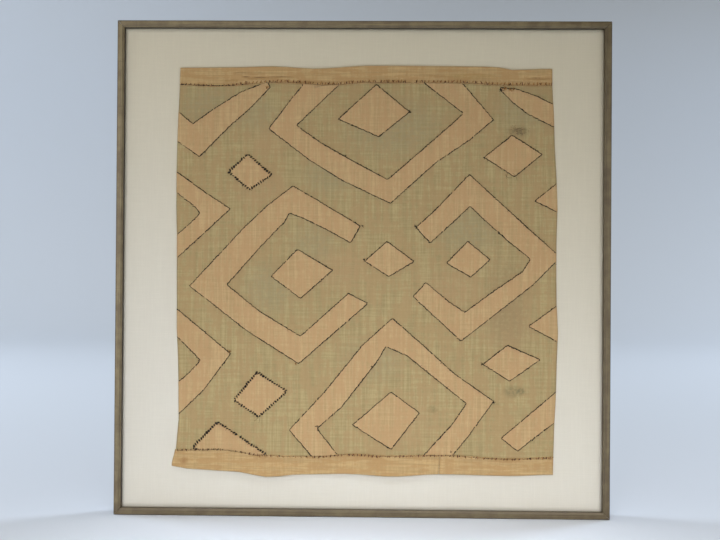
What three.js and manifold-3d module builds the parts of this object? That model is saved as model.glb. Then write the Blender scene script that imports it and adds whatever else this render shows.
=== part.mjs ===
// A framed raffia cloth: a plain-woven panel with sewn-on patches and borders, laid on a
// linen-covered board in a slim square frame that stands on its bottom rail.
// Millimetres, +Z up, +X to the right of someone who faces the front, which looks along -Y.
// The origin is in the middle of the foot print, on the surface that the frame stands on.
import * as THREE from "three";
import { mergeVertices } from "three/addons/utils/BufferGeometryUtils.js";
import Module from "manifold-3d";

const wasm = await Module();
wasm.setup();

// Clearance between neighbouring pieces
const GAP = 0.3;

// Frame moulding: a lip that shows in front, and a wall behind it that holds the board
const FRAME_WIDTH = 924;
const FRAME_HEIGHT = 926;
const FRAME_DEPTH = 45;
const FACE_WIDTH = 13;
const LIP_DEPTH = 12;
const LIP_OVERLAP = 5;
const EDGE_EASE = 1.2;
const SIGHT_SLOPE_WIDTH = 4;
const SIGHT_SLOPE_DROP = 1.4;

// Board and the linen over it
const BOARD_THICKNESS = 6;
const LINEN_THICKNESS = 1;

// Cloth
const PANEL_THICKNESS = 1.2;
const BORDER_THICKNESS = 1.4;
const PATCH_THICKNESS = 1;
const PANEL_COLUMNS = 28;
const PANEL_ROWS = 12;
const BORDER_ROWS = 3;
// The lower border is two lengths of cloth that meet this far along it, from the left
const BORDER_JOIN = 0.7;
const CORNER_SOFTNESS = 2.5;

// Layers, as distances behind the front of the frame
const LINEN_FRONT = LIP_DEPTH + GAP;
const BOARD_FRONT = LINEN_FRONT + LINEN_THICKNESS + GAP;
const CLOTH_BACK = LINEN_FRONT - GAP;
const PATCH_BACK = CLOTH_BACK - PANEL_THICKNESS - GAP;

// The cloth's edges, to the right of the frame's middle and up from it
const LEFT_EDGE = [
  { up: -385, right: -352 },
  { up: -343, right: -348 },
  { up: -277, right: -343 },
  { up: -210, right: -344 },
  { up: -110, right: -348 },
  { up: 40, right: -349 },
  { up: 145, right: -351 },
  { up: 240, right: -350 },
  { up: 345, right: -346 },
  { up: 380, right: -345 },
];
const RIGHT_EDGE = [
  { up: -385, right: 358 },
  { up: -290, right: 360 },
  { up: -225, right: 363 },
  { up: -110, right: 366 },
  { up: -65, right: 363 },
  { up: 30, right: 362 },
  { up: 112, right: 364 },
  { up: 270, right: 357 },
  { up: 345, right: 353 },
  { up: 380, right: 353 },
];
const TOP_HEM = [
  { right: -346, up: 376 },
  { right: -240, up: 377 },
  { right: -172, up: 379 },
  { right: -90, up: 375 },
  { right: 20, up: 381 },
  { right: 250, up: 380 },
  { right: 288, up: 374 },
  { right: 354, up: 376 },
];
const TOP_SEAM = [
  { right: -346, up: 344 },
  { right: -280, up: 342 },
  { right: -149, up: 349 },
  { right: -64, up: 344 },
  { right: 15, up: 349 },
  { right: 200, up: 349 },
  { right: 262, up: 345 },
  { right: 354, up: 345 },
];
const LOWER_SEAM = [
  { right: -348, up: -343 },
  { right: -265, up: -341 },
  { right: -177, up: -352 },
  { right: -90, up: -353 },
  { right: -10, up: -348 },
  { right: 40, up: -351 },
  { right: 150, up: -348 },
  { right: 284, up: -354 },
  { right: 358, up: -350 },
];
const LOWER_HEM = [
  { right: -352, up: -372 },
  { right: -330, up: -377 },
  { right: -238, up: -381 },
  { right: -166, up: -391 },
  { right: -112, up: -386 },
  { right: -20, up: -384 },
  { right: 60, up: -388 },
  { right: 148, up: -383 },
  { right: 284, up: -385 },
  { right: 358, up: -382 },
];
// How far the lower hem stands off the linen
const HEM_LIFT = [
  { right: -352, lift: 1.2 },
  { right: -270, lift: 2.2 },
  { right: -185, lift: 5 },
  { right: -95, lift: 1.8 },
  { right: -20, lift: 2.4 },
  { right: 85, lift: 4.4 },
  { right: 165, lift: 1.6 },
  { right: 358, lift: 0.8 },
];

// Bands, each a strip of cloth turned at its corners: a station for each bend, and the strip's
// width there. A strip that runs past the panel's edge or seam is cut off along it.
const BANDS = {
  patch_corner_band_upper: [
    { right: -380, up: 288, width: 46 },
    { right: -314, up: 240, width: 48 },
    { right: -268, up: 281, width: 45 },
    { right: -220, up: 317, width: 35 },
    { right: -178, up: 345, width: 12 },
  ],
  patch_chevron_left_upper: [
    { right: -380, up: 183, width: 30 },
    { right: -306, up: 128, width: 34 },
    { right: -278, up: 104, width: 38 },
    { right: -304, up: 79, width: 34 },
    { right: -380, up: 12, width: 33 },
  ],
  patch_chevron_left_lower: [
    { right: -385, up: -66, width: 36 },
    { right: -302, up: -149, width: 38 },
    { right: -276, up: -176, width: 42 },
    { right: -310, up: -213, width: 43 },
    { right: -385, up: -284, width: 47 },
  ],
  patch_top_band: [
    { right: -58, up: 370, width: 54 },
    { right: -119, up: 303, width: 45 },
    { right: -150, up: 265, width: 39 },
    { right: -91, up: 220, width: 39 },
    { right: -30, up: 184, width: 42 },
    { right: 49, up: 145, width: 38 },
    { right: 127, up: 211, width: 30 },
    { right: 188, up: 256, width: 36 },
    { right: 222, up: 280, width: 42 },
    { right: 128, up: 370, width: 52 },
  ],
  patch_corner_band_right: [
    { right: 256, up: 339, width: 5 },
    { right: 283, up: 326, width: 26 },
    { right: 316, up: 308, width: 38 },
    { right: 392, up: 270, width: 38 },
  ],
  patch_left_band: [
    { right: -13, up: 64, width: 37 },
    { right: -55, up: 88, width: 39 },
    { right: -100, up: 112, width: 43 },
    { right: -133, up: 128, width: 44 },
    { right: -164, up: 101, width: 45 },
    { right: -209, up: 56, width: 48 },
    { right: -288, up: -35, width: 47 },
    { right: -205, up: -99, width: 44 },
    { right: -116, up: -155, width: 42 },
    { right: -12, up: -60, width: 39 },
  ],
  patch_right_band: [
    { right: 113, up: 63, width: 40 },
    { right: 151, up: 98, width: 40 },
    { right: 200, up: 148, width: 43 },
    { right: 244, up: 107, width: 44 },
    { right: 289, up: 67, width: 43 },
    { right: 342, up: 22, width: 40 },
    { right: 309, up: -16, width: 32 },
    { right: 259, up: -54, width: 38 },
    { right: 193, up: -107, width: 43 },
    { right: 150, up: -76, width: 39 },
    { right: 107, up: -38, width: 36 },
  ],
  patch_lower_band: [
    { right: -40, up: -384, width: 38 },
    { right: -108, up: -304, width: 41 },
    { right: -53, up: -245, width: 43 },
    { right: 18, up: -158, width: 45 },
    { right: 51, up: -121, width: 41 },
    { right: 96, up: -149, width: 35 },
    { right: 165, up: -208, width: 31 },
    { right: 222, up: -250, width: 36 },
    { right: 184, up: -302, width: 38 },
    { right: 115, up: -382, width: 43 },
  ],
  patch_corner_band_lower: [
    { right: 390, up: -233, width: 44 },
    { right: 358, up: -260, width: 43 },
    { right: 302, up: -307, width: 37 },
    { right: 277, up: -329, width: 37 },
  ],
};

// Diamonds: where the two diagonals cross, how far each corner lies from there, and how many
// degrees the diagonals are off level (tilt, right end up) and off upright (lean, top to the left)
const DIAMONDS = {
  patch_diamond_upper_left: { x: -215, up: 178, left: 38, right: 44, tilt: -4, top: 36, foot: 31, lean: 3 },
  patch_diamond_top: { x: 27, up: 288, left: 75, right: 60, tilt: 6, top: 58, foot: 41, lean: 3 },
  patch_diamond_upper_right: { x: 281, up: 213, left: 55, right: 54, tilt: 3, top: 39, foot: 40, lean: 3 },
  patch_diamond_left: { x: -119, up: -10, left: 53, right: 64, tilt: 6, top: 46, foot: 47, lean: 4 },
  patch_diamond_centre: { x: 48, up: 14, left: 44, right: 49, tilt: 0, top: 38, foot: 29, lean: 3 },
  patch_diamond_right: { x: 200, up: 15, left: 43, right: 39, tilt: 5, top: 38, foot: 30, lean: 5 },
  patch_diamond_lower_right: { x: 274, up: -173, left: 48, right: 60, tilt: 5, top: 32, foot: 36, lean: 4 },
  patch_diamond_lower: { x: 56, up: -279, left: 71, right: 54, tilt: 11, top: 46, foot: 59, lean: 0 },
  patch_diamond_lower_left: { x: -192, up: -240, left: 48, right: 53, tilt: 10, top: 45, foot: 39, lean: 5 },
  patch_half_diamond_foot: { x: -255, up: -343, left: 62, right: 78, tilt: -5, top: 56, foot: 20, lean: 15 },
  patch_half_diamond_right_upper: { x: 372, up: 135, left: 48, right: 20, tilt: 5, top: 35, foot: 32, lean: 0 },
  patch_half_diamond_right_lower: { x: 375, up: -100, left: 60, right: 20, tilt: 6, top: 43, foot: 40, lean: 0 },
};

const FINISH = {
  leaf: new THREE.MeshStandardMaterial({ color: "#80725a", roughness: 0.42, metalness: 0.55 }),
  board: new THREE.MeshStandardMaterial({ color: "#b79f7c", roughness: 0.9, metalness: 0 }),
  linen: new THREE.MeshStandardMaterial({ color: "#d5cebd", roughness: 0.95, metalness: 0 }),
  panel: new THREE.MeshStandardMaterial({ color: "#a29468", roughness: 0.85, metalness: 0 }),
  border: new THREE.MeshStandardMaterial({ color: "#b8976a", roughness: 0.85, metalness: 0 }),
  patch: new THREE.MeshStandardMaterial({ color: "#b5966a", roughness: 0.85, metalness: 0 }),
};

// The value of one column of a table at a place along another, eased from row to row.
function readTable(table, along, column, at) {
  const next = table.findIndex((row) => row[along] > at);
  if (next === 0) return table[0][column];
  if (next < 0) return table[table.length - 1][column];
  const [before, after] = [table[next - 1], table[next]];
  const share = (at - before[along]) / (after[along] - before[along]);
  return THREE.MathUtils.lerp(before[column], after[column], share * share * (3 - 2 * share));
}

const heightOf = (table) => (right) => readTable(table, "right", "up", right);

function mesh(name, geometry, finish) {
  const made = new THREE.Mesh(geometry, finish.clone());
  made.name = name;
  return made;
}

// A cloth between a lower and an upper edge, from one share of the cloth's width to another. Its
// back lies CLOTH_BACK behind the frame's front, less the lift.
function clothSheet({ lower, upper, from = 0, to = 1, rows, thickness, lift = () => 0 }) {
  const sheet = new THREE.BoxGeometry(1, 1, 1, Math.round(PANEL_COLUMNS * (to - from)), 1, rows);
  const place = sheet.getAttribute("position");
  for (let i = 0; i < place.count; i++) {
    const across = THREE.MathUtils.lerp(from, to, place.getX(i) + 0.5);
    const rise = place.getZ(i) + 0.5;
    const near = THREE.MathUtils.lerp(LEFT_EDGE[4].right, RIGHT_EDGE[4].right, across);
    const up = THREE.MathUtils.lerp(lower(near), upper(near), rise);
    const left = readTable(LEFT_EDGE, "up", "right", up);
    const right = THREE.MathUtils.lerp(left, readTable(RIGHT_EDGE, "up", "right", up), across);
    const forward = lift(near, rise) + (place.getY(i) < 0 ? thickness : 0);
    place.setXYZ(i, right, CLOTH_BACK - forward, up);
  }
  return sheet;
}

// A closed outline with its corners eased into short curves.
function easedShape(corners) {
  const shape = new THREE.Shape();
  corners.forEach((corner, i) => {
    const before = corners[(i + corners.length - 1) % corners.length];
    const after = corners[(i + 1) % corners.length];
    const towards = (other) => {
      const reach = Math.min(CORNER_SOFTNESS, corner.distanceTo(other) * 0.4);
      return corner.clone().add(other.clone().sub(corner).setLength(reach));
    };
    const start = towards(before);
    const end = towards(after);
    if (i === 0) shape.moveTo(start.x, start.y);
    else shape.lineTo(start.x, start.y);
    shape.quadraticCurveTo(corner.x, corner.y, end.x, end.y);
  });
  shape.closePath();
  return shape;
}

// The two sides of a strip, set off from its middle line and mitred at each bend.
function bandShape(stations) {
  const middle = stations.map((s) => new THREE.Vector2(s.right, s.up));
  const sides = [[], []];
  middle.forEach((point, i) => {
    const into = point.clone().sub(middle[Math.max(i - 1, 0)]).normalize();
    const out = middle[Math.min(i + 1, middle.length - 1)].clone().sub(point).normalize();
    const along = into.clone().add(out).normalize();
    const halfTurn = Math.max(into.length() ? into.dot(along) : 1, 0.5);
    const reach = stations[i].width / 2 / halfTurn;
    const aside = new THREE.Vector2(-along.y, along.x).multiplyScalar(reach);
    sides[0].push(point.clone().add(aside));
    sides[1].unshift(point.clone().sub(aside));
  });
  return easedShape([...sides[0], ...sides[1]]);
}

// A diagonal's unit vector, from its angle in degrees above level.
function diagonal(degrees) {
  const turn = THREE.MathUtils.degToRad(degrees);
  return new THREE.Vector2(Math.cos(turn), Math.sin(turn));
}

function diamondShape({ x, up, left, right, tilt, top, foot, lean }) {
  const centre = new THREE.Vector2(x, up);
  const level = diagonal(tilt);
  const upright = diagonal(90 + lean);
  return easedShape([
    centre.clone().addScaledVector(level, -left),
    centre.clone().addScaledVector(upright, -foot),
    centre.clone().addScaledVector(level, right),
    centre.clone().addScaledVector(upright, top),
  ]);
}

function solidOf(geometry) {
  const bare = geometry.clone();
  bare.deleteAttribute("normal");
  bare.deleteAttribute("uv");
  const merged = mergeVertices(bare, 1e-4);
  const vertProperties = new Float32Array(merged.getAttribute("position").array);
  const triVerts = new Uint32Array(merged.index.array);
  return new wasm.Manifold(new wasm.Mesh({ numProp: 3, vertProperties, triVerts }));
}

function geometryOf(solid) {
  const { vertProperties, triVerts } = solid.getMesh();
  const geometry = new THREE.BufferGeometry();
  geometry.setAttribute("position", new THREE.BufferAttribute(new Float32Array(vertProperties), 3));
  geometry.setIndex([...triVerts]);
  const flat = geometry.toNonIndexed();
  flat.computeVertexNormals();
  return flat;
}

// A patch is cut along the panel's own edges and seams, where its outline runs past them.
function patch(name, shape, panelPrism) {
  const flat = new THREE.ExtrudeGeometry(shape, {
    depth: PATCH_THICKNESS,
    bevelEnabled: false,
    curveSegments: 2,
  });
  flat.rotateX(Math.PI / 2).translate(0, PATCH_BACK, 0);
  return mesh(name, geometryOf(solidOf(flat).intersect(panelPrism)), FINISH.patch);
}

// One rail, run along X with its outer edge at z = 0 and its face at y = 0. Its ends are mitred.
function railGeometry(length) {
  const wall = FACE_WIDTH - LIP_OVERLAP;
  const section = new THREE.Shape();
  section.moveTo(0, FRAME_DEPTH);
  section.lineTo(0, EDGE_EASE);
  section.quadraticCurveTo(0, 0, EDGE_EASE, 0);
  section.lineTo(FACE_WIDTH - SIGHT_SLOPE_WIDTH, 0);
  section.lineTo(FACE_WIDTH, SIGHT_SLOPE_DROP);
  section.lineTo(FACE_WIDTH, LIP_DEPTH);
  section.lineTo(wall, LIP_DEPTH);
  section.lineTo(wall, FRAME_DEPTH);
  section.closePath();
  const rail = new THREE.ExtrudeGeometry(section, { depth: length, bevelEnabled: false, curveSegments: 4 });
  const axes = new THREE.Matrix4().makeBasis(
    new THREE.Vector3(0, 0, 1),
    new THREE.Vector3(0, 1, 0),
    new THREE.Vector3(-1, 0, 0),
  );
  rail.applyMatrix4(axes.setPosition(length / 2, 0, 0));
  const place = rail.getAttribute("position");
  for (let i = 0; i < place.count; i++) {
    const cut = place.getZ(i) + GAP / 2;
    place.setX(i, place.getX(i) - Math.sign(place.getX(i)) * cut);
  }
  rail.computeVertexNormals();
  return rail;
}

function frameRails() {
  const sides = [
    { name: "frame_rail_bottom", turns: 0, length: FRAME_WIDTH, reach: FRAME_HEIGHT / 2 },
    { name: "frame_rail_left", turns: 1, length: FRAME_HEIGHT, reach: FRAME_WIDTH / 2 },
    { name: "frame_rail_top", turns: 2, length: FRAME_WIDTH, reach: FRAME_HEIGHT / 2 },
    { name: "frame_rail_right", turns: 3, length: FRAME_HEIGHT, reach: FRAME_WIDTH / 2 },
  ];
  return sides.map(({ name, turns, length, reach }) => {
    const turned = new THREE.Group();
    turned.rotation.y = (turns * Math.PI) / 2;
    const rail = mesh(name, railGeometry(length), FINISH.leaf);
    rail.position.z = -reach;
    turned.add(rail);
    return turned;
  });
}

// The linen and the board fill the rabbet behind the lip, and stand on the bottom rail's wall.
function backing() {
  const inset = 2 * (FACE_WIDTH - LIP_OVERLAP + GAP);
  const [width, height] = [FRAME_WIDTH - inset, FRAME_HEIGHT - inset];
  const linen = mesh("linen_cover", new THREE.BoxGeometry(width, LINEN_THICKNESS, height), FINISH.linen);
  linen.position.y = LINEN_FRONT + LINEN_THICKNESS / 2;
  const board = mesh("mount_board", new THREE.BoxGeometry(width, BOARD_THICKNESS, height), FINISH.board);
  board.position.y = BOARD_FRONT + BOARD_THICKNESS / 2;
  return [linen, board];
}

function cloth() {
  const panelEdges = { lower: heightOf(LOWER_SEAM), upper: heightOf(TOP_SEAM), rows: PANEL_ROWS };
  const panel = clothSheet({ ...panelEdges, thickness: PANEL_THICKNESS });
  const panelPrism = solidOf(clothSheet({ ...panelEdges, thickness: 4 * PANEL_THICKNESS }));

  const upperBorder = clothSheet({
    lower: (right) => heightOf(TOP_SEAM)(right) + GAP,
    upper: heightOf(TOP_HEM),
    rows: BORDER_ROWS,
    thickness: BORDER_THICKNESS,
  });
  const lowerBorder = {
    lower: heightOf(LOWER_HEM),
    upper: (right) => heightOf(LOWER_SEAM)(right) - GAP,
    rows: BORDER_ROWS,
    thickness: BORDER_THICKNESS,
    lift: (right, rise) => (1 - rise) ** 1.5 * readTable(HEM_LIFT, "right", "lift", right),
  };
  const halfJoin = GAP / 2 / (FRAME_WIDTH - 2 * FACE_WIDTH);
  return [
    mesh("raffia_panel", panel, FINISH.panel),
    mesh("border_top", upperBorder, FINISH.border),
    mesh("border_lower_left", clothSheet({ ...lowerBorder, to: BORDER_JOIN - halfJoin }), FINISH.border),
    mesh("border_lower_right", clothSheet({ ...lowerBorder, from: BORDER_JOIN + halfJoin }), FINISH.border),
    ...Object.entries(BANDS).map(([name, stations]) => patch(name, bandShape(stations), panelPrism)),
    ...Object.entries(DIAMONDS).map(([name, sizes]) => patch(name, diamondShape(sizes), panelPrism)),
  ];
}

// The pieces are laid out from the middle of the frame's front, then stood on the origin
const framedCloth = new THREE.Group();
framedCloth.add(...frameRails(), ...backing(), ...cloth());
framedCloth.position.set(0, -FRAME_DEPTH / 2, FRAME_HEIGHT / 2);

export default framedCloth;
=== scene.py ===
"""A framed raffia cloth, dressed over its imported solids.

A plain-woven raffia panel with turned-under patches and two whip-stitched borders lies on a
linen-covered board, inside a slim frame of metal-leafed moulding that stands on its bottom rail.
+X is to the right of someone who faces the front, +Y to the back and +Z up. Sizes are in metres,
except where a docstring says millimetres.
"""

from __future__ import annotations

import logging
import math
import random
from dataclasses import dataclass, field
from enum import Enum
from typing import Iterable

import bmesh
import bpy
from mathutils import Matrix, Vector, noise
from mathutils.kdtree import KDTree


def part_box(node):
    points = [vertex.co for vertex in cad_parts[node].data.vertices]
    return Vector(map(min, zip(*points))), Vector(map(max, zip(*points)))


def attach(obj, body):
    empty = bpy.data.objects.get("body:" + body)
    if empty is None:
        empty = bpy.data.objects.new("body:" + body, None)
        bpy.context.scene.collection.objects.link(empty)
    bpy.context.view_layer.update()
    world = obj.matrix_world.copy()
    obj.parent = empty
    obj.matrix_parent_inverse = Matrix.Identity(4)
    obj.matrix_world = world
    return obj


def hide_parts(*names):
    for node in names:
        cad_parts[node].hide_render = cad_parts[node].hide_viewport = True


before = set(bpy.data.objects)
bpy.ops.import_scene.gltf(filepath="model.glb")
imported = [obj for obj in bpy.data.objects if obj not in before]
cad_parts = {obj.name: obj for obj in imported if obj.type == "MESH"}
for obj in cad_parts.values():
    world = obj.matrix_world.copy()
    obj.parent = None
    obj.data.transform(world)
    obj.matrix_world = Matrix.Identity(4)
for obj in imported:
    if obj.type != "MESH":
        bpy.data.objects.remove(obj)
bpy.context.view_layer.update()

log = logging.getLogger("framed_cloth")

BODY = "root"
MM = 0.001
# The middle of the frame and of the cloth, over the surface that the frame stands on
CENTRE_UP = 0.463
# The front face of the ground panel, in front of the frame's middle plane
GROUND_FRONT = 0.0117
NOTHING = 1e-6
Outline = list[Vector]
Colour = tuple[float, float, float, float]


def from_centre(right: float, up: float) -> Vector:
    """Return a place on the cloth, given in millimetres from the middle of the frame."""
    return Vector((right * MM, 0.0, CENTRE_UP + up * MM))


def smooth(share: float) -> float:
    """Return a share, held between 0 and 1 and eased at both ends."""
    held = min(max(share, 0.0), 1.0)
    return held * held * (3.0 - 2.0 * held)


def linear(code: str) -> Colour:
    """Turn an sRGB hex colour into linear light.

    Args:
        code: Six hex digits after a hash, such as "#a39669".

    Returns:
        Red, green, blue and an alpha of 1.
    """
    parts = [int(code[i : i + 2], 16) / 255 for i in (1, 3, 5)]
    light = [c / 12.92 if c <= 0.04045 else ((c + 0.055) / 1.055) ** 2.4 for c in parts]
    return (light[0], light[1], light[2], 1.0)


def put(
    tree: bpy.types.NodeTree,
    kind: str,
    settings: dict[str, object] | None = None,
    inputs: dict[str | int, object] | None = None,
) -> bpy.types.Node:
    """Add a shader node, with its settings, its values and the links into it.

    Args:
        tree: The material's node tree.
        kind: The node's type name.
        settings: Attributes of the node, such as a math operation.
        inputs: A value, or an output socket to link from, for each named or numbered input.

    Returns:
        The new node.
    """
    node = tree.nodes.new(kind)
    for name, value in (settings or {}).items():
        setattr(node, name, value)
    for name, value in (inputs or {}).items():
        socket = node.inputs[name]
        if isinstance(value, bpy.types.NodeSocket):
            tree.links.new(value, socket)
        else:
            socket.default_value = value
    return node


class Shading:
    """A material under construction: its tree, its coordinates and its common sums."""

    def __init__(self, name: str) -> None:
        """Start an empty material.

        Args:
            name: What it is made of.
        """
        self.material = bpy.data.materials.new(name)
        self.material.use_nodes = True
        self.tree = self.material.node_tree
        self.tree.nodes.clear()
        self.place = put(self.tree, "ShaderNodeTexCoord").outputs["Object"]
        split = put(self.tree, "ShaderNodeSeparateXYZ", inputs={0: self.place})
        self.across, self.deep, self.up = split.outputs

    def sum(self, operation: str, *values: object, clamp: bool = False) -> bpy.types.NodeSocket:
        """Join values by one math operation.

        Args:
            operation: The operation's name.
            values: Numbers or sockets.
            clamp: Whether the result is held between 0 and 1.

        Returns:
            The result as a socket.
        """
        settings = {"operation": operation, "use_clamp": clamp}
        node = put(self.tree, "ShaderNodeMath", settings, dict(enumerate(values)))
        return node.outputs[0]

    def band(
        self, value: object, low: float, high: float, to_low: float = 0.0, to_high: float = 1.0
    ) -> bpy.types.NodeSocket:
        """Move a value smoothly from one range to another, and hold it inside.

        Args:
            value: The socket to move.
            low: Where the first range starts.
            high: Where it ends.
            to_low: The result at its start and before it.
            to_high: The result at its end and past it.

        Returns:
            The result as a socket.
        """
        node = put(
            self.tree,
            "ShaderNodeMapRange",
            {"interpolation_type": "SMOOTHSTEP"},
            {0: value, 1: low, 2: high, 3: to_low, 4: to_high},
        )
        return node.outputs[0]

    def grain(
        self, across: float, deep: float, up: float, detail: float = 3.0, seed: float = 0.0
    ) -> bpy.types.NodeSocket:
        """Add noise from about 0.3 to 0.7.

        Args:
            across: The size of its lumps from side to side, in metres.
            deep: Their size from front to back.
            up: Their height.
            detail: How many finer layers lie over them.
            seed: A shift that makes this noise differ from the others.

        Returns:
            The noise as a socket.
        """
        scale = (1 / across, 1 / deep, 1 / up)
        shifted = {0: self.place, "Scale": scale, "Location": (seed, seed * 1.7, seed * 2.3)}
        spot = put(self.tree, "ShaderNodeMapping", inputs=shifted).outputs[0]
        settings = {"Vector": spot, "Scale": 1.0, "Detail": detail, "Roughness": 0.6}
        return put(self.tree, "ShaderNodeTexNoise", inputs=settings).outputs["Fac"]

    def mix(
        self, share: object, first: object, second: object, blend: str = "MIX"
    ) -> bpy.types.NodeSocket:
        """Mix two colours.

        Args:
            share: How much of the second there is, a number or a socket.
            first: Hex code or socket.
            second: Hex code or socket.
            blend: The way they are mixed.

        Returns:
            The colour as a socket.
        """
        pair = [linear(c) if isinstance(c, str) else c for c in (first, second)]
        settings = {"data_type": "RGBA", "blend_type": blend}
        node = put(self.tree, "ShaderNodeMix", settings, {0: share, 6: pair[0], 7: pair[1]})
        return node.outputs[2]

    def spot(self, right: float, up: float, wide: float, tall: float) -> bpy.types.NodeSocket:
        """Make a soft-edged oval mask.

        Args:
            right: Its middle to the right of the frame's middle, in millimetres.
            up: Its middle over the frame's middle.
            wide: Half its width.
            tall: Half its height.

        Returns:
            The mask as a socket, 1 inside and 0 outside.
        """
        middle = from_centre(right, up)
        x = self.sum("DIVIDE", self.sum("SUBTRACT", self.across, middle.x), wide * MM)
        z = self.sum("DIVIDE", self.sum("SUBTRACT", self.up, middle.z), tall * MM)
        far = self.sum("SQRT", self.sum("ADD", self.sum("MULTIPLY", x, x), self.sum("MULTIPLY", z, z)))
        return self.band(far, 1.0, 0.25, 0.0, 1.0)

    def weave(self, pitch: float, wander: float) -> bpy.types.NodeSocket:
        """Return the height of a plain weave, from 0 between the threads to 1 on their crowns.

        Args:
            pitch: Distance from thread to thread, in metres.
            wander: How far the threads stray from straight, in metres.

        Returns:
            The height as a socket.
        """
        stray = self.sum("SUBTRACT", self.grain(0.03, 0.03, 0.05, 2.0, 4.0), 0.5)
        drift = self.sum("SUBTRACT", self.grain(0.05, 0.03, 0.03, 2.0, 9.0), 0.5)
        x = self.sum("ADD", self.across, self.sum("MULTIPLY", stray, wander * 4))
        z = self.sum("ADD", self.up, self.sum("MULTIPLY", drift, wander * 4))
        warp = self.sum("SINE", self.sum("MULTIPLY", x, math.pi / pitch))
        weft = self.sum("SINE", self.sum("MULTIPLY", z, math.pi / pitch))
        over = self.band(self.sum("MULTIPLY", warp, weft), -0.35, 0.35, 0.0, 1.0)
        crowns = self.sum("ABSOLUTE", warp), self.sum("ABSOLUTE", weft)
        lean = self.sum("MULTIPLY", self.sum("SUBTRACT", crowns[0], crowns[1]), over)
        return self.sum("ADD", crowns[1], lean)

    def finish(
        self,
        colour: object,
        roughness: object,
        height: object | None = None,
        relief: float = 0.0,
        **sockets: object,
    ) -> bpy.types.Material:
        """Close the material with its shader.

        Args:
            colour: Hex code or socket of the base colour.
            roughness: Value or socket.
            height: Socket of the bump's height, from 0 to 1.
            relief: Depth of the bump, in metres.
            sockets: Further shader sockets, their spaces written as underscores.

        Returns:
            The finished material.
        """
        base = linear(colour) if isinstance(colour, str) else colour
        inputs = {"Base Color": base, "Roughness": roughness}
        inputs |= {name.replace("_", " "): value for name, value in sockets.items()}
        if height is not None:
            bump = put(self.tree, "ShaderNodeBump", inputs={"Height": height, "Distance": relief})
            inputs["Normal"] = bump.outputs[0]
        shader = put(self.tree, "ShaderNodeBsdfPrincipled", inputs=inputs)
        put(self.tree, "ShaderNodeOutputMaterial", inputs={0: shader.outputs[0]})
        return self.material


@dataclass(frozen=True)
class Stain:
    """A mark on cloth: where it is and how large, in millimetres, its colour and its strength."""

    right: float
    up: float
    wide: float
    tall: float
    colour: str
    strength: float


@dataclass(frozen=True)
class RaffiaWeave:
    """Plain-woven raffia leaf fibre: matt, dry and streaky, because no two strands match."""

    name: str
    light: str
    dark: str
    tinge: str
    streaks: float
    level: float = 0.38
    stains: tuple[Stain, ...] = ()
    # Strands are about 1.2 mm apart. They are drawn coarser, or the picture couldn't show them.
    pitch: float = 0.0021
    wander: float = 0.0006
    relief: float = 0.0005
    # The width and the length of the streaks of tone, then of hue
    tone_strand: tuple[float, float] = (0.0034, 0.09)
    hue_strand: tuple[float, float] = (0.008, 0.05)
    fleck_size: float = 0.0045
    fuzz_size: float = 0.0008
    roughness: float = 0.86

    def strands(self, s: Shading, fine: float, long: float, seed: float) -> bpy.types.NodeSocket:
        """Make streaks of upright and level strands.

        Args:
            s: The material under construction.
            fine: The width of a streak, in metres.
            long: Its length.
            seed: The first seed of their noise.

        Returns:
            The streaks as a socket, from 0 to 1.
        """
        warp = s.band(s.grain(fine, 0.05, long, 4.0, seed), 0.36, 0.64)
        weft = s.band(s.grain(long, 0.05, fine, 4.0, seed + 1), 0.36, 0.64)
        upright = s.sum("MULTIPLY", warp, 1 - self.level)
        return s.sum("ADD", upright, s.sum("MULTIPLY", weft, self.level))

    def build(self) -> bpy.types.Material:
        """Make the weave's material.

        Returns:
            The material.
        """
        s = Shading(self.name)
        tone = self.strands(s, *self.tone_strand, 1.0)
        hue = self.strands(s, *self.hue_strand, 5.0)
        cloud = s.grain(0.05, 0.05, 0.07, 4.0, 3.0)
        crown = s.weave(self.pitch, self.wander)
        tone = s.sum("ADD", 0.5, s.sum("MULTIPLY", s.sum("SUBTRACT", tone, 0.5), self.streaks))
        colour = s.mix(tone, self.dark, self.light)
        patchy = s.sum("ADD", s.sum("MULTIPLY", hue, 0.5), s.sum("MULTIPLY", cloud, 0.5))
        colour = s.mix(s.band(patchy, 0.38, 0.62, 0.0, 0.75), colour, self.tinge)
        fleck = s.grain(self.fleck_size, self.fleck_size, self.fleck_size, 3.0, 6.0)
        colour = s.mix(s.band(fleck, 0.56, 0.7, 0.0, 0.25), colour, self.light)
        colour = s.mix(s.band(fleck, 0.44, 0.3, 0.0, 0.3), colour, self.dark)
        # Painted shade in the gaps between the threads
        gaps = s.band(crown, 0.0, 0.75, 0.93, 1.0)
        shade = put(s.tree, "ShaderNodeCombineColor", inputs={0: gaps, 1: gaps, 2: gaps})
        colour = s.mix(1.0, colour, shade.outputs[0], "MULTIPLY")
        for stain in self.stains:
            mask = s.spot(stain.right, stain.up, stain.wide, stain.tall)
            worn = s.sum("MULTIPLY", mask, s.band(s.grain(0.006, 0.006, 0.006), 0.3, 0.6, 0.2, 1.0))
            colour = s.mix(s.sum("MULTIPLY", worn, stain.strength), colour, stain.colour)
        fuzz = s.grain(self.fuzz_size, self.fuzz_size, self.fuzz_size, 2.0)
        height = s.sum("ADD", s.sum("MULTIPLY", crown, 0.75), s.sum("MULTIPLY", fuzz, 0.25))
        sheen = {"Sheen_Weight": 0.08, "Sheen_Roughness": 0.5}
        return s.finish(colour, self.roughness, height, self.relief, Specular_IOR_Level=0.25, **sheen)


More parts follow.
